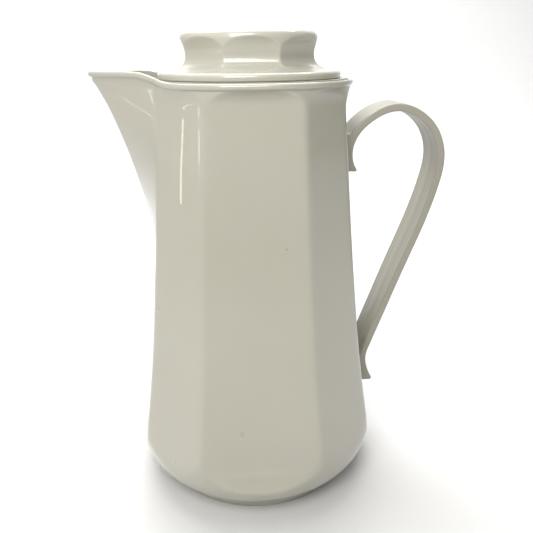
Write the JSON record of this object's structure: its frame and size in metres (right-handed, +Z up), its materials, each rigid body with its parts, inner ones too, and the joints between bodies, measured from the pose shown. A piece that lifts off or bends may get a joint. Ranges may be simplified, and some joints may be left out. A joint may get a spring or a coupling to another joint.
{
  "type": "insulated coffee pot",
  "caption": "Tall faceted coffee pot with a V-shaped pouring spout, a slim strap handle, a screw-in stopper lid with a scalloped knob, and a vacuum flask inside.",
  "frame": {"origin": "centre of the foot ring on the table surface, on the axis of the flask", "axes": "+Z up along the flask's axis, -X towards the spout, +X towards the handle"},
  "size_m": [0.1943, 0.1476, 0.266],
  "materials": {
    "shell": "glossy warm off-white moulded plastic",
    "handle": "glossy warm off-white moulded plastic",
    "lid": "glossy warm off-white moulded plastic",
    "base": "satin warm off-white moulded plastic",
    "collar": "satin off-white polypropylene",
    "stopper": "satin off-white polypropylene",
    "rubber": "soft pale silicone rubber",
    "cushion": "dark moulded rubber",
    "glass_silvered": "silvered vacuum glass, mirror bright",
    "glass_inner": "silvered vacuum glass, clear polished bore",
    "screw": "zinc-plated steel",
    "foam": "rigid insulating foam"
  },
  "bodies": {
    "pot": {"outer_shell": "shell", "handle_strap": "handle", "handle_screws": "screw", "pouring_collar": "collar", "flask_neck_seal": "rubber", "flask_inner_glass": "glass_inner", "flask_outer_glass": "glass_silvered", "flask_cushion": "cushion", "base_cap": "base"},
    "lid_seal": {"lid_gasket": "rubber"},
    "lid": {"lid_cap": "lid", "lid_stopper": "stopper", "lid_insulation": "foam"}
  },
  "joints": [
    {"name": "lid_lift", "type": "slide", "parent": "pot", "child": "lid_seal", "axis": [0, 0, 1], "range_m": [0, 0.048]},
    {"name": "lid_turn", "type": "hinge", "parent": "lid_seal", "child": "lid", "pos_m": [0, 0, 0.2414], "axis": [0, 0, 1], "range_deg": [0, 1080]}
  ],
  "couplings": [
    {"joint": "lid_lift", "follows": "lid_turn", "m_per_rad": 0.0025465}
  ]
}
